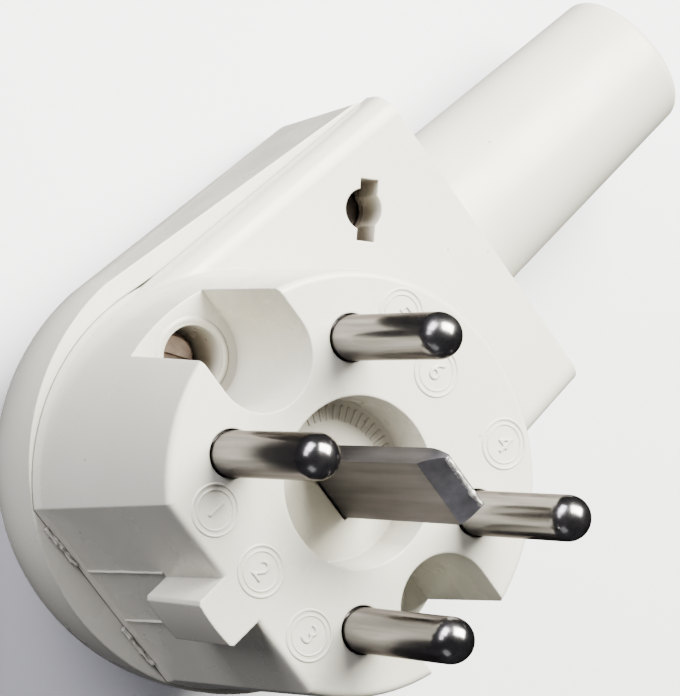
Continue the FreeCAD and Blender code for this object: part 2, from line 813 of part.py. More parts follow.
# Cable sleeve: turned cone with a squared flange behind the end wall.
# Its own Z axis is the cable's way out, tilted a little from the wall.
sleeve = new_body(
    "cable_sleeve", (0, S.sleeve_y, S.sleeve_z), (1, 0, 0), S.sleeve_tilt - 90,
)
sketch = new_sketch(sleeve, "cone", 0, "XZ_Plane")
add_loop(sketch, [
    (sleeve_bore_radius, -S.sleeve_root),
    (S.sleeve_radius - S.sleeve_gap, -S.sleeve_root),
    (S.sleeve_radius, 0),
    (sleeve_end_radius + S.sleeve_taper * S.sleeve_end_round, S.sleeve_length - S.sleeve_end_round),
    (sleeve_end_radius - S.sleeve_end_round, S.sleeve_length, S.sleeve_end_round),
    (sleeve_bore_radius + S.sleeve_mouth_flare, S.sleeve_length),
    (sleeve_bore_radius, S.sleeve_length - S.sleeve_mouth_flare),
])
revolve(sleeve, sketch)
sketch = new_sketch(sleeve, "flange", -S.sleeve_root)
half_x, half_z, corner = S.sleeve_flange_half_x, S.sleeve_flange_half_z, S.sleeve_flange_corner
add_loop(sketch, [
    (half_x, half_z - corner),
    (half_x - corner, half_z, corner),
    (-(half_x - corner), half_z),
    (-half_x, half_z - corner, corner),
    (-half_x, -(half_z - corner)),
    (-(half_x - corner), -half_z, corner),
    (half_x - corner, -half_z),
    (half_x, -(half_z - corner), corner),
])
add_circle(sketch, 0, 0, sleeve_bore_radius)
pad(sleeve, sketch, S.sleeve_flange_thickness)
NODES.append(sleeve)

# Contact carrier: block between the posts and the retainer, cut out round the screw wells
well_clear = S.well_radius + S.well_wall + S.carrier_gap
well_points = [
    (S.notch_mouth_x, well_clear),
    (S.notch_x, well_clear),
    (S.notch_x - well_clear, 0, well_clear),
    (S.notch_x, -well_clear, well_clear),
    (S.notch_mouth_x, -well_clear),
]


def carrier_form(name, level, height, inset):
    """Plate that follows the inside of the head and clears the screw wells."""
    body = new_body(name)
    sketch = new_sketch(body, "plate", level)
    head_outline(sketch, S.carrier_radius - inset, S.carrier_chord - inset)
    pad(body, sketch, height)
    round_edges(body, "top_edge", S.carrier_edge, at_level(sized(level) + height), "Chamfer")
    sketch = new_sketch(body, "well_clearance", level + height)
    add_loop(sketch, well_points)
    add_loop(sketch, mirrored(well_points))
    pocket(body, sketch, height)
    sketch = new_sketch(body, "screw_holes", level + height)
    for side in (-1, 1):
        add_circle(sketch, 0, S.post_y * side, S.carrier_screw_radius + S.screw_gap)
    pocket(body, sketch, height)
    return body


carrier = carrier_form("contact_carrier", S.carrier_level, S.carrier_height, 0)
sketch = new_sketch(carrier, "pin_bores", carrier_top)
for across, along in PIN_PLACES.values():
    add_circle(sketch, S.pin_x * across, S.pin_y * along, S.pin_radius + S.retainer_gap)
add_loop(
    sketch,
    box_points(S.blade_half_width + S.blade_gap, S.blade_thickness / 2 + S.blade_gap, 0, S.blade_y),
)
pocket(carrier, sketch, S.carrier_height)
sketch = new_sketch(carrier, "flange_seats", S.carrier_level)
for across, along in PIN_PLACES.values():
    add_circle(sketch, S.pin_x * across, S.pin_y * along, S.flange_radius + S.flange_gap)
add_loop(sketch, box_points(
    S.blade_flange_half_x + S.flange_gap, S.blade_flange_half_y + S.flange_gap, 0, S.blade_y,
))
pocket(carrier, sketch, S.flange_height + S.flange_gap * 2, up=True)
NODES.append(carrier)

# Contact retainer: thin plate that closes the flange seats from behind
retainer = carrier_form("contact_retainer", retainer_level, S.retainer_height, S.retainer_inset)
sketch = new_sketch(retainer, "terminal_holes", S.carrier_level)
for across, along in PIN_PLACES.values():
    add_circle(sketch, S.pin_x * across, S.pin_y * along, S.terminal_radius + S.flange_gap)
add_circle(sketch, 0, S.blade_y, S.terminal_radius + S.flange_gap)
pocket(retainer, sketch, S.carrier_level - retainer_level)
NODES.append(retainer)


def terminal_holes(body):
    """Wire bore from behind and the threaded hole of the terminal screw, towards +Y."""
    sketch = new_sketch(body, "wire_bore", S.terminal_level)
    add_circle(sketch, 0, 0, S.wire_radius)
    pocket(body, sketch, S.wire_depth, up=True)
    sketch = new_sketch(body, "screw_bore", 0, "XZ_Plane")
    screw_level = S.terminal_level + S.terminal_screw_rise
    add_circle(sketch, 0, screw_level, S.terminal_screw_radius + S.insert_bore_gap)
    pocket(body, sketch, S.terminal_radius + overrun)


# Round contact pins: domed tip, groove at the face, flange in the carrier and a terminal behind it
groove_level = S.face_level + S.pin_groove_rise
for name, (across, along) in PIN_PLACES.items():
    body = new_body("pin_" + name, (S.pin_x * across, S.pin_y * along, 0))
    sketch = new_sketch(body, "profile", 0, "XZ_Plane")
    add_loop(sketch, [
        (0, S.terminal_level),
        (S.terminal_radius - S.terminal_edge, S.terminal_level),
        (S.terminal_radius, S.terminal_level + S.terminal_edge),
        (S.terminal_radius, flange_level),
        (S.flange_radius, flange_level),
        (S.flange_radius, flange_top),
        (S.pin_radius, flange_top),
        (S.pin_radius, groove_level - S.pin_groove_width),
        (S.pin_radius - S.pin_groove_depth, groove_level - S.pin_groove_width),
        (S.pin_radius - S.pin_groove_depth, groove_level),
        (S.pin_radius, groove_level),
        (S.pin_radius, S.pin_tip_level - S.pin_radius),
        (0, S.pin_tip_level, S.pin_radius),
    ])
    revolve(body, sketch)
    terminal_holes(body)
    NODES.append(body)

# Earth blade: flat, bevelled on the key side at its tip, with its own flange and terminal
blade = new_body("earth_blade", (0, S.blade_y, 0))
sketch = new_sketch(blade, "outline", 0, "XZ_Plane")
shoulder = S.blade_tip_level - S.blade_shoulder_drop
add_loop(sketch, [
    (S.blade_half_width, flange_level),
    (S.blade_half_width, shoulder),
    (S.blade_tip_half_width, S.blade_tip_level, S.blade_shoulder_round),
    (-S.blade_tip_half_width, S.blade_tip_level),
    (-S.blade_half_width, shoulder, S.blade_shoulder_round),
    (-S.blade_half_width, flange_level),
])
pad(blade, sketch, S.blade_thickness, middle=True)
sketch = new_sketch(blade, "bevel", 0, "YZ_Plane")
bevel_outer = -S.blade_thickness / 2
bevel_inner = S.blade_thickness / 2 - S.blade_land
add_loop(sketch, [
    (bevel_outer, S.blade_tip_level - S.blade_bevel_drop),
    (bevel_inner, S.blade_tip_level),
    (bevel_inner, S.blade_tip_level + overrun),
    (bevel_outer - overrun, S.blade_tip_level + overrun),
    (bevel_outer - overrun, S.blade_tip_level - S.blade_bevel_drop),
])
pocket(blade, sketch, S.blade_half_width * 3, middle=True)
sketch = new_sketch(blade, "flange", flange_level)
add_loop(sketch, box_points(S.blade_flange_half_x, S.blade_flange_half_y))
pad(blade, sketch, S.flange_height)
sketch = new_sketch(blade, "terminal", S.terminal_level)
add_circle(sketch, 0, 0, S.terminal_radius)
pad(blade, sketch, flange_level - S.terminal_level + S.flange_height / 2)
terminal_holes(blade)
round_edges(
    blade, "terminal_edge", S.terminal_edge,
    lambda box: at_level(S.terminal_level)(box) and box.XLength > S.terminal_radius.number * 1.9,
    "Chamfer",
)
NODES.append(blade)


def slotted_screw(name, place, radius, length, head_radius, head_height, axis=(0, 0, 1), angle=0):
    """Cheese-head screw: its own origin is under the head and its Z axis leaves through the head."""
    body = new_body(name, place, axis, angle)
    sketch = new_sketch(body, "profile", 0, "XZ_Plane")
    edge = S.screw_head_edge
    add_loop(sketch, [
        (0, -sized(length)),
        (radius - edge, -sized(length)),
        (radius, edge - length),
        (radius, 0),
        (head_radius, 0),
        (head_radius, head_height - edge),
        (head_radius - edge, head_height),
        (0, head_height),
    ])
    revolve(body, sketch)
    sketch = new_sketch(body, "slot", head_height)
    add_loop(sketch, box_points(head_radius * 1.2, S.screw_slot_width / 2))
    pocket(body, sketch, S.screw_slot_depth)
    NODES.append(body)
    return body


# Terminal screws, one in each contact
terminal_screw_level = S.terminal_level + S.terminal_screw_rise
terminal_seat = S.terminal_radius + S.terminal_screw_standoff
TERMINALS = [(name, S.pin_x * across, S.pin_y * along) for name, (across, along) in PIN_PLACES.items()]
TERMINALS.append(("earth", 0, S.blade_y))
for name, x, y in TERMINALS:
    slotted_screw(
        "terminal_screw_" + name, (x, y + terminal_seat, terminal_screw_level),
        S.terminal_screw_radius, S.terminal_screw_length,
        S.terminal_screw_head_radius, S.terminal_screw_head_height,
        (1, 0, 0), -90,
    )

# Housing screws in the wells under the notches, and their inserts in the rear cover
for name, side, turn in (
    ("left", -1, S.housing_screw_turn_left),
    ("right", 1, S.housing_screw_turn_right),
):
    slotted_screw(
        "housing_screw_" + name, (S.notch_x * side, 0, S.well_seat_level),
        S.screw_radius, S.well_seat_level - S.housing_screw_end_level,
        S.screw_head_radius, S.screw_head_height, (0, 0, 1), turn,
    )

# Clamp screw under the access hole
slotted_screw(
    "clamp_screw", (S.access_x, S.access_y, S.clamp_top_level),
    S.screw_radius, S.clamp_top_level - S.clamp_screw_end_level,
    S.screw_head_radius, S.screw_head_height, (0, 0, 1), -45,
)

# Carrier screws from behind into the posts
for name, side in (("key_side", -1), ("cable_side", 1)):
    slotted_screw(
        "carrier_screw_" + name, (0, S.post_y * side, retainer_level),
        S.carrier_screw_radius, carrier_top + S.carrier_screw_reach - retainer_level,
        S.carrier_screw_head_radius, S.carrier_screw_head_height, (1, 0, 0), 180,
    )


def threaded_insert(name, x, y, top):
    """Brass sleeve pressed into a boss."""
    body = new_body(name, (x, y, top - S.insert_sink - S.insert_length))
    sketch = new_sketch(body, "ring", 0)
    add_circle(sketch, 0, 0, S.insert_radius)
    add_circle(sketch, 0, 0, insert_bore_radius)
    pad(body, sketch, S.insert_length)
    NODES.append(body)


threaded_insert("housing_insert_left", -S.notch_x, 0, S.seam_level)
threaded_insert("housing_insert_right", S.notch_x, 0, S.seam_level)
threaded_insert("clamp_insert", S.access_x, S.access_y, S.clamp_bottom_level - S.clamp_gap)

# Cable clamp: bar with a trough over the cable, hooked on the right and screwed on the left
clamp = new_body("cable_clamp", (0, S.access_y, 0))
sketch = new_sketch(clamp, "profile", 0, "XZ_Plane")
trough_x = leg(S.cable_radius, S.clamp_block_level - S.cable_level)
add_loop(sketch, [
    (trough_x, S.clamp_block_level),
    (S.clamp_block_half_x, S.clamp_block_level),
    (S.clamp_block_half_x, S.clamp_bottom_level),
    (S.clamp_right_x, S.clamp_bottom_level),
    (S.clamp_right_x, S.clamp_top_level),
    (-S.clamp_left_x, S.clamp_top_level),
    (-S.clamp_left_x, S.clamp_bottom_level),
    (-S.clamp_block_half_x, S.clamp_bottom_level),
    (-S.clamp_block_half_x, S.clamp_block_level),
    (-trough_x, S.clamp_block_level),
    (0, S.cable_level + S.cable_radius, -S.cable_radius),
])
pad(clamp, sketch, S.clamp_half_depth * 2 - S.clamp_gap, middle=True)
sketch = new_sketch(clamp, "screw_hole", S.clamp_top_level)
add_circle(sketch, S.access_x, 0, screw_hole_radius)
pocket(clamp, sketch, S.clamp_top_level - S.clamp_bottom_level)
NODES.append(clamp)

# Every feature has to be sound before the pieces are written
doc.recompute()
for item in doc.Objects:
    if any(word in item.State for word in ("Invalid", "Error")):
        raise RuntimeError("%s is not sound: %s" % (item.Label, item.State))
for node in NODES:
    shape = node.Shape
    if shape.isNull() or not shape.isValid():
        raise RuntimeError("%s has no valid shape" % node.Label)
    if len(shape.Solids) != 1:
        raise RuntimeError("%s has %d solids" % (node.Label, len(shape.Solids)))
    shape.exportStep("parts/%s.step" % node.Label)
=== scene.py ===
import bpy
import math
from mathutils import Matrix, Vector


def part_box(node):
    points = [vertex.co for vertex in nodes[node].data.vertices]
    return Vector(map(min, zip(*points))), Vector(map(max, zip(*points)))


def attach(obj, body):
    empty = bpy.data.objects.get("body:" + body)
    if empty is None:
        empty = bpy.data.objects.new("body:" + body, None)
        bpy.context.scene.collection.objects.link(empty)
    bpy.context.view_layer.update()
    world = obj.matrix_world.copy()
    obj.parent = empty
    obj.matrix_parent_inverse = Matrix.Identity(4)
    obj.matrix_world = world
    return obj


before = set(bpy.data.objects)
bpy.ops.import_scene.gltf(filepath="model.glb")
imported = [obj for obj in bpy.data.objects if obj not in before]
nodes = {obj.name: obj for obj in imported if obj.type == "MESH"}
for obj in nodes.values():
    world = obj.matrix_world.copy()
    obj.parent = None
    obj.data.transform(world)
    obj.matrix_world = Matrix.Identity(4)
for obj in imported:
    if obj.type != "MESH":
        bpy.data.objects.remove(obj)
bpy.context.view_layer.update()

# Camera, looking down on the contact face from the key side, with the cable end at the upper right.
# It stands about forty centimetres away, so the pins lean apart a little, as they do in the photograph.
camera_data = bpy.data.cameras.new("camera")
camera_data.sensor_fit = "HORIZONTAL"
camera_data.sensor_width = 36.0
camera_data.lens = 181.37
camera_data.clip_start = 0.01
camera_data.clip_end = 10.0
camera = bpy.data.objects.new("camera", camera_data)
bpy.context.scene.collection.objects.link(camera)
camera_place = Vector((-0.13041, -0.1389, 0.36963))
camera_right = Vector((0.55376, 0.65763, 0.51079))
camera_down = Vector((0.76876, -0.63943, -0.01018))
camera_back = -camera_right.cross(camera_down)
camera_turn = Matrix((camera_right, -camera_down, camera_back)).transposed().to_4x4()
camera.matrix_world = Matrix.Translation(camera_place) @ camera_turn
bpy.context.scene.camera = camera

# Pale floor that the plug lies on with its back, wide enough to fill every view.
# It is plain and matt and takes the soft shadows of the plug, but stays out of the metal's reflections.
MM = 0.001
floor_width = 6.0
floor_drop = 0.2 * MM
bpy.ops.object.select_all(action="DESELECT")
bpy.ops.mesh.primitive_plane_add(size=floor_width, location=(0, 0, -floor_drop))
floor = bpy.context.object
floor.name = "floor"
floor_paint = bpy.data.materials.new("pale_floor")
floor_paint.use_nodes = True
floor_shader = floor_paint.node_tree.nodes["Principled BSDF"]
floor_shader.inputs["Base Color"].default_value = (0.91, 0.92, 0.98, 1)
floor_shader.inputs["Roughness"].default_value = 0.8
floor.data.materials.append(floor_paint)
floor.visible_diffuse = False
floor.visible_glossy = False

# Studio light: a warm soft box high over the cable end lights the face and throws the pins' shadows towards
# the key. A cool box far on the left lights the side wall, a small low one puts the second spark on the
# metal, and a weak card on the key side keeps the chord from going black.
world = bpy.data.worlds.new("studio")
bpy.context.scene.world = world
world.use_nodes = True
world.node_tree.nodes["Background"].inputs["Color"].default_value = (0.93, 0.91, 1.0, 1)
world.node_tree.nodes["Background"].inputs["Strength"].default_value = 0.07


def soft_box(name, place, target, size, power, colour):
    """A flat rectangular light at a place, turned to its target; size is its width and height."""
    data = bpy.data.lights.new(name, "AREA")
    data.shape = "RECTANGLE"
    data.size, data.size_y = size
    data.energy = power
    data.color = colour
    lamp = bpy.data.objects.new(name, data)
    bpy.context.scene.collection.objects.link(lamp)
    lamp.location = place
    lamp.rotation_euler = (Vector(target) - Vector(place)).to_track_quat("-Z", "Y").to_euler()


face_spot = (0, 0.01, 0.05)
pin_spot = (0, 0.01, 0.06)
soft_box("main_box", (-0.154, 0.334, 0.462), face_spot, (0.47, 0.33), 23.0, (1.0, 0.98, 0.89))
soft_box("left_box", (-0.95, -0.05, 0.30), face_spot, (0.6, 0.42), 15.0, (0.96, 0.94, 1.0))
soft_box("spark_box", (-0.83, -0.52, 0.22), pin_spot, (0.36, 0.28), 2.4, (0.97, 0.94, 1.0))
soft_box("key_side_card", (0.32, -0.92, 0.30), pin_spot, (0.5, 0.4), 0.6, (0.93, 0.95, 1.0))

# Moulded plastic of the two halves: a glossy off-white with faint clouds from the flow in the mould, tiny
# dark specks from use and a barely uneven skin. Its edges look rounded, its hollows get painted shade, and
# just above the seam where the halves meet a thin band of painted shade stands for the shade in the gap.
edge_softness, edge_samples = 0.35 * MM, 6
# Painted shade in hollows: how far the occlusion looks, its samples and the darkest tone it paints in.
hollow_shade_reach, hollow_shade_samples, hollow_shade_tone = 8.0 * MM, 8, (0.29, 0.25, 0.24)
cloud_scale, speck_scale, speck_patch_scale = 55.0, 420.0, 260.0
wear_scale, wear_shine, wear_dull = 140.0, 0.06, 0.10
skin_scale, skin_strength, skin_depth = 90.0, 0.05, 0.5 * MM
# Painted shade above the seam: the heights where the thin dark band fades out, how strongly it covers and its
# tone.
seam_shade_foot, seam_shade_top = 0.12 * MM, 0.30 * MM
seam_shade_strength, seam_shade_tone = 0.85, (0.10, 0.085, 0.07)
glow_weight, glow_reach = 0.06, (2.5 * MM, 2.2 * MM, 1.8 * MM)
plastic_ior = 1.5
black, white = (0, 0, 0), (1, 1, 1)


def grey(value):
    """A value as a grey, for ramps that steer the roughness."""
    return (value, value, value)


def new_finish(name, colour, roughness, metallic):
    """A material with its node tree, its shader and the coordinates of the piece."""
    material = bpy.data.materials.new(name)
    material.use_nodes = True
    tree = material.node_tree
    shader = tree.nodes["Principled BSDF"]
    shader.inputs["Base Color"].default_value = (*colour, 1)
    shader.inputs["Roughness"].default_value = roughness
    shader.inputs["Metallic"].default_value = metallic
    place = tree.nodes.new("ShaderNodeTexCoord").outputs["Object"]
    return material, tree, shader, place


def add_noise(tree, place, scale, detail, stretch=(1, 1, 1)):
    """Noise over the piece; a stretch below 1 draws it out along that axis."""
    mapping = tree.nodes.new("ShaderNodeMapping")
    mapping.inputs["Scale"].default_value = stretch
    tree.links.new(place, mapping.inputs["Vector"])
    noise = tree.nodes.new("ShaderNodeTexNoise")
    noise.inputs["Scale"].default_value = scale
    noise.inputs["Detail"].default_value = detail
    tree.links.new(mapping.outputs["Vector"], noise.inputs["Vector"])
    return noise.outputs["Fac"]


def add_ramp(tree, source, first, last):
    """Turns a value into colours, from two pairs of a position and its colour."""
    ramp = tree.nodes.new("ShaderNodeValToRGB")
    for element, (position, colour) in zip(ramp.color_ramp.elements, (first, last)):
        element.position = position
        element.color = (*colour, 1)
    tree.links.new(source, ramp.inputs["Fac"])
    return ramp.outputs["Color"]


def add_bump(tree, shader, source, strength, distance):
    """Relief from a noise, stacked on what the shader already has."""
    bump = tree.nodes.new("ShaderNodeBump")
    bump.inputs["Strength"].default_value = strength
    bump.inputs["Distance"].default_value = distance
    tree.links.new(source, bump.inputs["Height"])
    if shader.inputs["Normal"].is_linked:
        tree.links.new(shader.inputs["Normal"].links[0].from_socket, bump.inputs["Normal"])
    tree.links.new(bump.outputs["Normal"], shader.inputs["Normal"])


def cover_colour(tree, under, colour, amount):
    """A plain colour laid over another where the amount says so."""
    mix = tree.nodes.new("ShaderNodeMix")
    mix.data_type = "RGBA"
    mix.inputs["B"].default_value = (*colour, 1)
    tree.links.new(amount, mix.inputs["Factor"])
    tree.links.new(under, mix.inputs["A"])
    return mix.outputs["Result"]


def add_specks(tree, place, under, speck):
    """Tiny dark dots that come in patches."""
    dots = tree.nodes.new("ShaderNodeTexVoronoi")
    dots.inputs["Scale"].default_value = speck_scale
    tree.links.new(place, dots.inputs["Vector"])
    near = add_ramp(tree, dots.outputs["Distance"], (0.03, white), (0.09, black))
    clusters = add_noise(tree, place, speck_patch_scale, detail=2.0)
    patches = add_ramp(tree, clusters, (0.60, black), (0.66, white))
    both = tree.nodes.new("ShaderNodeMath")
    both.operation = "MULTIPLY"
    tree.links.new(near, both.inputs[0])
    tree.links.new(patches, both.inputs[1])
    return cover_colour(tree, under, speck, both.outputs["Value"])


def dim_hollows(tree, under):
    """Paints shade into a colour where corners and deep hollows occlude it."""
    hollows = tree.nodes.new("ShaderNodeAmbientOcclusion")
    hollows.samples = hollow_shade_samples
    hollows.inputs["Distance"].default_value = hollow_shade_reach
    shade_ramp = add_ramp(tree, hollows.outputs["AO"], (0.1, hollow_shade_tone), (0.6, white))
    shaded = tree.nodes.new("ShaderNodeMix")
    shaded.data_type = "RGBA"
    shaded.blend_type = "MULTIPLY"
    shaded.inputs["Factor"].default_value = 1.0
    tree.links.new(under, shaded.inputs["A"])
    tree.links.new(shade_ramp, shaded.inputs["B"])
    return shaded.outputs["Result"]


def add_seam_dirt(tree, place, under, seam):
    """A thin band of painted shade just above a seam at the given height, standing for the shade in the gap.
    """
    axes = tree.nodes.new("ShaderNodeSeparateXYZ")
    tree.links.new(place, axes.inputs["Vector"])
    band = tree.nodes.new("ShaderNodeMapRange")
    band.inputs["From Min"].default_value = seam + seam_shade_foot
    band.inputs["From Max"].default_value = seam + seam_shade_top
    band.inputs["To Min"].default_value = seam_shade_strength
    band.inputs["To Max"].default_value = 0.0
    tree.links.new(axes.outputs["Z"], band.inputs["Value"])
    return cover_colour(tree, under, seam_shade_tone, band.outputs["Result"])


def moulded_plastic(name, light, shade, speck, roughness, seam=None):
    """Moulded plastic with clouds, specks, soft edges, painted shade in hollows and at a seam if it has one.
    """
    material, tree, shader, place = new_finish(name, light, roughness, metallic=0.0)
    edges = tree.nodes.new("ShaderNodeBevel")
    edges.samples = edge_samples
    edges.inputs["Radius"].default_value = edge_softness
    tree.links.new(edges.outputs["Normal"], shader.inputs["Normal"])
    clouds = add_noise(tree, place, cloud_scale, detail=4.0)
    skin = add_ramp(tree, clouds, (0.35, shade), (0.65, light))
    # Specks, then painted shade where hollows and corners occlude the surface.
    skin = dim_hollows(tree, add_specks(tree, place, skin, speck))
    # A thin band of painted shade just above the seam stands for the shade in the gap.
    if seam is not None:
        skin = add_seam_dirt(tree, place, skin, seam)
    tree.links.new(skin, shader.inputs["Base Color"])
    rubbed = add_noise(tree, place, wear_scale, detail=5.0)
    shiny, dull = grey(roughness - wear_shine), grey(roughness + wear_dull)
    wear = add_ramp(tree, rubbed, (0.3, shiny), (0.75, dull))
    tree.links.new(wear, shader.inputs["Roughness"])
    add_bump(tree, shader, add_noise(tree, place, skin_scale, detail=2.0), skin_strength, skin_depth)
    shader.inputs["IOR"].default_value = plastic_ior
    shader.inputs["Subsurface Weight"].default_value = glow_weight
    shader.inputs["Subsurface Radius"].default_value = glow_reach
    shader.inputs["Subsurface Scale"].default_value = 1.0
    return material


def dress(names, material):
    """Puts one finish on CAD nodes."""
    for name in names:
        for slot in nodes[name].material_slots:
            slot.material = material


cream, cream_shade, brown_speck = (0.70, 0.685, 0.60), (0.665, 0.65, 0.565), (0.28, 0.24, 0.20)
cream_roughness = 0.25
seam_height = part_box("rear_cover")[1][2]
cream_tones = (cream, cream_shade, brown_speck, cream_roughness)
front_plastic = moulded_plastic("front_plastic", *cream_tones, seam=seam_height)
dress(["front_housing"], front_plastic)
cover_plastic = moulded_plastic("cover_plastic", *cream_tones)
dress(["rear_cover"], cover_plastic)

# Cable sleeve: the same off-white in a softer plastic, a little less glossy than the halves.
# Its specks are a little paler too.
sleeve_cream, sleeve_shade, sleeve_speck = (0.69, 0.675, 0.60), (0.655, 0.64, 0.56), (0.34, 0.30, 0.26)
sleeve_plastic = moulded_plastic("sleeve_plastic", sleeve_cream, sleeve_shade, sleeve_speck, roughness=0.34)
dress(["cable_sleeve"], sleeve_plastic)

# Round contact pins: turned brass under nickel, with fine lines along them from drawing and use.
# The nickel has a plain grey tone and is duller in patches where the socket has rubbed it.
line_stretch, patch_stretch = (1, 1, 0.05), (1, 1, 0.35)
patch_scale, line_strength = 300.0, 0.12
dim_edge = (0.3, 0.28, 0.27)


def drawn_metal(name, light, dark, roughness, spread, line_scale, line_height, edge=dim_edge):
    """Bare or plated metal with lines along the pins; spread is how much duller its patches get."""
    material, tree, shader, place = new_finish(name, light, roughness, metallic=1.0)
    lines = add_noise(tree, place, line_scale, detail=3.0, stretch=line_stretch)
    tree.links.new(add_ramp(tree, lines, (0.3, dark), (0.7, light)), shader.inputs["Base Color"])
    patches = add_noise(tree, place, patch_scale, detail=4.0, stretch=patch_stretch)
    worn = add_ramp(tree, patches, (0.35, grey(roughness)), (0.7, grey(roughness + spread)))
    tree.links.new(worn, shader.inputs["Roughness"])
    add_bump(tree, shader, lines, line_strength, line_height)
    shader.inputs["Specular Tint"].default_value = (*edge, 1)
    return material


nickel_light, nickel_dark = (0.345, 0.334, 0.338), (0.215, 0.208, 0.212)
nickel = drawn_metal(
    "nickel", nickel_light, nickel_dark,
    roughness=0.16, spread=0.12, line_scale=1500.0, line_height=0.05 * MM,
)
dress(["pin_line_1", "pin_line_2", "pin_line_3", "pin_neutral"], nickel)

# Earth blade: sheared flat steel, darker and duller than the pins.
# Its lines are coarser, and they run up the blade from rolling the strip.
blade_light, blade_dark = (0.24, 0.23, 0.24), (0.155, 0.148, 0.155)
blade_steel = drawn_metal(
    "blade_steel", blade_light, blade_dark,
    roughness=0.34, spread=0.16, line_scale=900.0, line_height=0.08 * MM,
)
dress(["earth_blade"], blade_steel)

# Slotted screws: zinc-plated steel with a brownish tarnish.
# The clamp screw sits deep under its slotted hole, and its finish is painted dark to stand for the shade down
# there.
tarnish_light, tarnish_dark = (0.56, 0.45, 0.40), (0.36, 0.28, 0.25)
screw_steel = drawn_metal(
    "screw_steel", tarnish_light, tarnish_dark,
    roughness=0.28, spread=0.2, line_scale=700.0, line_height=0.06 * MM,
)
dress([name for name in nodes if "screw" in name], screw_steel)
# Painted shade: a much darker copy of the screw steel for the screw deep in the hole.
shade_painted_steel = drawn_metal(
    "shade_painted_steel", (0.16, 0.13, 0.11), (0.07, 0.055, 0.05),
    roughness=0.32, spread=0.2, line_scale=700.0, line_height=0.06 * MM,
)
dress(["clamp_screw"], shade_painted_steel)

# Threaded inserts: turned brass, still bright inside the closed plug.
# Two take the housing screws and one takes the clamp screw.
brass_light, brass_dark = (0.72, 0.55, 0.27), (0.55, 0.41, 0.19)
insert_brass = drawn_metal(
    "insert_brass", brass_light, brass_dark,
    roughness=0.25, spread=0.12, line_scale=800.0, line_height=0.06 * MM,
)
dress([name for name in nodes if "insert" in name], insert_brass)

# Contact carrier and retainer: dark glass-filled plastic with pale specks and a matt skin.
# Both are out of sight inside the halves and hold the flanges of the contacts between them.
carrier_dark, carrier_shade, carrier_speck = (0.055, 0.05, 0.045), (0.035, 0.032, 0.03), (0.2, 0.19, 0.17)
carrier_plastic = moulded_plastic(
    "carrier_plastic", carrier_dark, carrier_shade, carrier_speck, roughness=0.55
)
dress(["contact_carrier", "contact_retainer"], carrier_plastic)

# Cable clamp: off-white bar under the neck, matt from the mould.
# It is a shade greyer than the halves.
clamp_cream, clamp_shade, clamp_speck = (0.66, 0.64, 0.58), (0.6, 0.58, 0.52), (0.3, 0.27, 0.22)
clamp_plastic = moulded_plastic("clamp_plastic", clamp_cream, clamp_shade, clamp_speck, roughness=0.5)
dress(["cable_clamp"], clamp_plastic)

# Marks on the contact face: raised double rings with a plain number, low and soft, as a mould leaves them.
# Their places are those of the moulded marks beside the pins, in millimetres across and along the plug.
# Like all small plastic detail they take the cover's finish, which has no painted seam shade.
face_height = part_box("front_housing")[1][2]
mark_places = [(-9.3, -14.9), (-0.7, -14.9), (8.5, -14.9), (9.0, 17.2), (-10.4, 16.2), (-2.8, 15.6)]
outer_ring, outer_bead = 2.75 * MM, 0.20 * MM
inner_ring, inner_bead = 2.15 * MM, 0.16 * MM
ring_sink = 0.06 * MM
digit_height, digit_rise, digit_edge = 3.2 * MM, 0.10 * MM, 0.03 * MM
smooth_angle = math.radians(40)


def make_piece(piece, name, material):
    """Settles a modelled piece: its transform goes into its mesh, then it gets its finish and rides along."""
    bpy.ops.object.select_all(action="DESELECT")
    piece.select_set(True)
    bpy.context.view_layer.objects.active = piece
    bpy.ops.object.transform_apply(location=True, rotation=True, scale=True)
    bpy.ops.object.shade_smooth_by_angle(angle=smooth_angle)
    piece.name = name
    piece.data.materials.clear()
    piece.data.materials.append(material)
    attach(piece, "root")


def join(parts):
    """Several objects as one; the first keeps its place."""
    bpy.ops.object.select_all(action="DESELECT")
    for part in parts:
        part.select_set(True)
    bpy.context.view_layer.objects.active = parts[0]
    bpy.ops.object.join()
    return parts[0]


def add_ring(centre, radius, bead, sink):
    """A round bead of the given radius that lies in a flat surface and is sunk into it a little."""
    place = Vector(centre) - Vector((0, 0, sink))
    bpy.ops.object.select_all(action="DESELECT")
    bpy.ops.mesh.primitive_torus_add(
        location=place, major_radius=radius, minor_radius=bead, major_segments=64, minor_segments=10
    )
    return bpy.context.object


def add_number(number, centre):
    """A plain raised number, upright towards the cable end."""
    bpy.ops.object.select_all(action="DESELECT")
    bpy.ops.object.text_add(location=centre)
    text = bpy.context.object
    text.data.body = str(number)
    text.data.size = digit_height
    text.data.align_x = "CENTER"
    text.data.align_y = "CENTER"
    text.data.extrude = digit_rise
    text.data.bevel_depth = digit_edge
    text.data.resolution_u = 4
    bpy.ops.object.convert(target="MESH")
    return bpy.context.object


marks = []
for number, (x, y) in enumerate(mark_places, start=1):
    centre = (x * MM, y * MM, face_height)
    marks.append(add_ring(centre, outer_ring, outer_bead, ring_sink))
    marks.append(add_ring(centre, inner_ring, inner_bead, ring_sink))
    marks.append(add_number(number, centre))
make_piece(join(marks), "face_marks", cover_plastic)

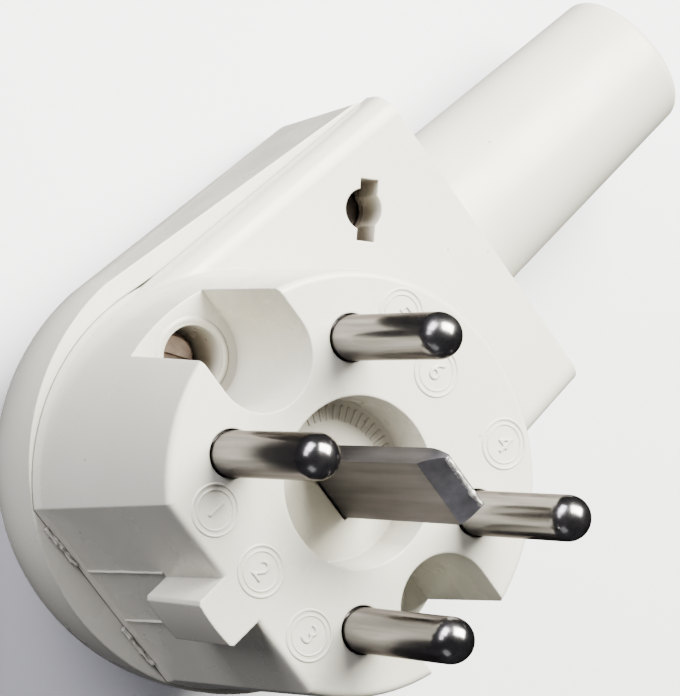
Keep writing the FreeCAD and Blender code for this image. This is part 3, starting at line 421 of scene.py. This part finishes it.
# Recess floor: short soft ribs along its edge, like the spokes of a wheel, on the side away from the key.
# One bevelled rib is turned to the first place and then repeated clockwise over the arc.
recess_depth, recess_y = 5.8 * MM, 0.35 * MM
recess_centre = Vector((0, recess_y, face_height - recess_depth))
rib_reach = Vector((7.45 * MM, 0, 0))
rib_size = (1.7 * MM, 0.34 * MM, 0.26 * MM)
rib_edge = 0.10 * MM
rib_start, rib_arc, rib_count = math.radians(164), math.radians(92), 15
bpy.ops.object.select_all(action="DESELECT")
bpy.ops.mesh.primitive_cube_add(size=1.0, location=recess_centre + rib_reach)
ribs = bpy.context.object
ribs.scale = rib_size
bpy.ops.object.transform_apply(location=True, rotation=True, scale=True)
bpy.ops.object.mode_set(mode="EDIT")
bpy.ops.mesh.select_all(action="SELECT")
bpy.ops.mesh.bevel(offset=rib_edge, segments=3)
bpy.ops.mesh.select_all(action="SELECT")
bpy.ops.transform.rotate(value=-rib_start, orient_axis="Z", center_override=recess_centre)
bpy.ops.mesh.spin(steps=rib_count - 1, dupli=True, angle=rib_arc, center=recess_centre, axis=(0, 0, 1))
bpy.ops.object.mode_set(mode="OBJECT")
make_piece(ribs, "recess_ribs", cover_plastic)

# Flash on the chord: two fine light lines from the foot of the key's sides down to the seam, ragged from the
# mould. They lie on the chord, which slopes back a little from the seam up to the face.
chord_foot, chord_top = -20.35 * MM, -18.8 * MM
key_length = 12.0 * MM
line_x = 3.7 * MM
line_foot, line_top = seam_height + 1.2 * MM, face_height - key_length
line_bead, line_ragged, line_cuts = 0.17 * MM, 0.16 * MM, 14
ragged_grain = 0.4 * MM


def add_bead(start, end, radius, ragged, cuts):
    """A thin bead between two points, with a ragged skin."""
    run = Vector(end) - Vector(start)
    bpy.ops.object.select_all(action="DESELECT")
    bpy.ops.mesh.primitive_cylinder_add(vertices=10, radius=radius, depth=run.length, location=(0, 0, 0))
    bead = bpy.context.object
    bpy.ops.object.mode_set(mode="EDIT")
    bpy.ops.mesh.select_all(action="SELECT")
    bpy.ops.mesh.subdivide(number_cuts=cuts)
    bpy.ops.object.mode_set(mode="OBJECT")
    clouds = bpy.data.textures.new("ragged_skin", "CLOUDS")
    clouds.noise_scale = ragged_grain
    rag = bead.modifiers.new("ragged", "DISPLACE")
    rag.texture = clouds
    rag.texture_coords = "GLOBAL"
    rag.strength = ragged
    rag.mid_level = 0.5
    bead.rotation_mode = "QUATERNION"
    bead.rotation_quaternion = run.to_track_quat("Z", "Y")
    bead.location = (Vector(start) + Vector(end)) / 2
    bpy.ops.object.modifier_apply(modifier="ragged")
    return bead


def on_chord(x, height):
    """A point of the sloping chord."""
    share = (height - seam_height) / (face_height - seam_height)
    return (x, chord_foot + share * (chord_top - chord_foot), height)


flash = []
for x in (-line_x, line_x):
    flash.append(add_bead(on_chord(x, line_foot), on_chord(x, line_top), line_bead, line_ragged, line_cuts))
make_piece(join(flash), "chord_flash_lines", cover_plastic)

# Seam flash: two ragged slivers of plastic that stand out of the seam at the foot of the chord.
# Each rises a little and comes closer to the chord from left to right.
sliver_spans = ((-10.6 * MM, -4.9 * MM), (4.6 * MM, 10.2 * MM))
sliver_left_y, sliver_right_y = -20.85 * MM, -20.7 * MM
sliver_left_height, sliver_right_height = seam_height + 0.15 * MM, seam_height + 0.4 * MM
sliver_bead, sliver_ragged, sliver_cuts = 0.26 * MM, 0.6 * MM, 12
slivers = []
for left_x, right_x in sliver_spans:
    left_end = (left_x, sliver_left_y, sliver_left_height)
    right_end = (right_x, sliver_right_y, sliver_right_height)
    slivers.append(add_bead(left_end, right_end, sliver_bead, sliver_ragged, sliver_cuts))
make_piece(join(slivers), "seam_flash", cover_plastic)

# Screw wells: a low soft lip round each well on the floor of its notch.
# Most of the bead is sunk into the floor, so that only its rounded top shows.
notch_x, notch_depth = 17.9 * MM, 16.0 * MM
notch_floor_height = face_height - notch_depth
lip_radius, lip_bead, lip_sink = 4.25 * MM, 0.55 * MM, 0.38 * MM
lips = []
for x in (-notch_x, notch_x):
    lips.append(add_ring((x, 0, notch_floor_height), lip_radius, lip_bead, lip_sink))
make_piece(join(lips), "well_lips", cover_plastic)

# Burr on the earth blade: the sheared land at its tip is ragged and catches the light.
# It is bare steel, brighter than the blade, along the middle of the tip.
burr_reach, burr_y = 3.2 * MM, 1.15 * MM
burr_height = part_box("earth_blade")[1][2] - 0.16 * MM
burr_bead, burr_ragged, burr_cuts = 0.30 * MM, 0.42 * MM, 22
bare_light, bare_dark = (0.95, 0.94, 0.92), (0.6, 0.58, 0.56)
bare_steel = drawn_metal(
    "bare_steel", bare_light, bare_dark,
    roughness=0.36, spread=0.2, line_scale=2600.0, line_height=0.3 * MM, edge=white,
)
burr_left, burr_right = (-burr_reach, burr_y, burr_height), (burr_reach, burr_y, burr_height)
burr = add_bead(burr_left, burr_right, burr_bead, burr_ragged, burr_cuts)
make_piece(burr, "blade_burr", bare_steel)
